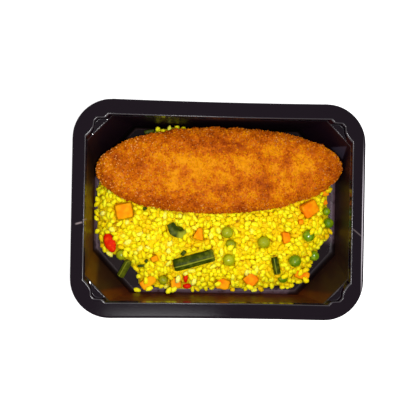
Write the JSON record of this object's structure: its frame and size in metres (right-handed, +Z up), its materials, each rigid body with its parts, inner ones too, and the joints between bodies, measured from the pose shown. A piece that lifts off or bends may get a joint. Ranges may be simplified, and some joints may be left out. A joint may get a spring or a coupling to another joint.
{
  "type": "tray meal",
  "caption": "Ready meal in a black plastic tray: breaded cutlet on yellow rice with peas, diced carrot, green bean and red pepper.",
  "frame": {"origin": "middle of the tray's underside, at the height of the surface it stands on", "axes": "+Z up, +X along the tray's length, +Y across the tray towards the side where the cutlet lies"},
  "size_m": [0.187, 0.1386, 0.036],
  "materials": {
    "tray_black": "smooth glossy thermoformed plastic",
    "crust": "rough fried breadcrumb",
    "yellow_rice": "moist cooked grains",
    "pea_green": "smooth cooked pea skin",
    "carrot_orange": "smooth knife-cut carrot",
    "bean_green": "smooth cooked bean skin",
    "pepper_red": "smooth cooked pepper skin"
  },
  "bodies": {
    "root": {"bean_left": "bean_green", "bean_long": "bean_green", "bean_right": "bean_green", "carrot_01": "carrot_orange", "carrot_02": "carrot_orange", "carrot_03": "carrot_orange", "carrot_04": "carrot_orange", "carrot_05": "carrot_orange", "carrot_06": "carrot_orange", "carrot_07": "carrot_orange", "carrot_08": "carrot_orange", "carrot_09": "carrot_orange", "carrot_10": "carrot_orange", "carrot_11": "carrot_orange", "carrot_12": "carrot_orange", "carrot_13": "carrot_orange", "cutlet": "crust", "green_bit_1": "bean_green", "green_bit_2": "bean_green", "green_bit_3": "bean_green", "green_bit_4": "bean_green", "green_bit_5": "bean_green", "green_pepper": "bean_green", "pea_01": "pea_green", "pea_02": "pea_green", "pea_03": "pea_green", "pea_04": "pea_green", "pea_05": "pea_green", "pea_06": "pea_green", "pea_07": "pea_green", "pea_08": "pea_green", "pea_09": "pea_green", "pea_10": "pea_green", "pea_11": "pea_green", "pea_12": "pea_green", "red_pepper_1": "pepper_red", "red_pepper_2": "pepper_red", "red_pepper_3": "pepper_red", "rice_heap": "yellow_rice", "tray": "tray_black"}
  },
  "joints": []
}
